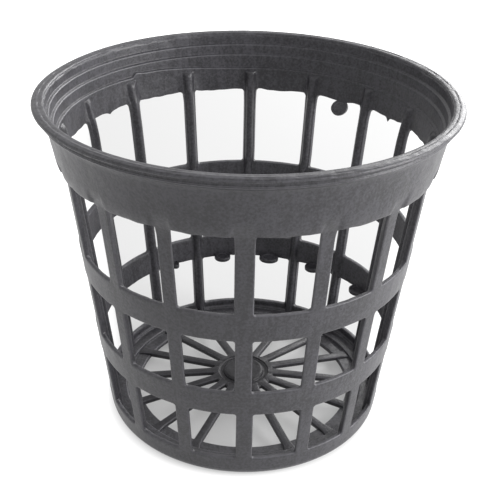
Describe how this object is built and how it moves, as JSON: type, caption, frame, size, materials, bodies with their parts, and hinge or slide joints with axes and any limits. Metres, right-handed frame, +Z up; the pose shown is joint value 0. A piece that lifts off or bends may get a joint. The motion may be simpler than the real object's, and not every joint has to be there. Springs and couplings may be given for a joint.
{
  "type": "hydroponic net pot",
  "caption": "Tapered round net pot of moulded plastic with a plain collar, an outward lip, tiers of slatted windows and a spoked floor.",
  "frame": {"origin": "centre of the standing ring, on the surface that the pot stands on", "axes": "+Z up along the pot's axis; one slat lies on each of the X and Y axes"},
  "size_m": [0.08, 0.08, 0.0689],
  "materials": {
    "charcoal_plastic": "matte"
  },
  "bodies": {
    "root": {"net_pot": "charcoal_plastic"}
  },
  "joints": []
}
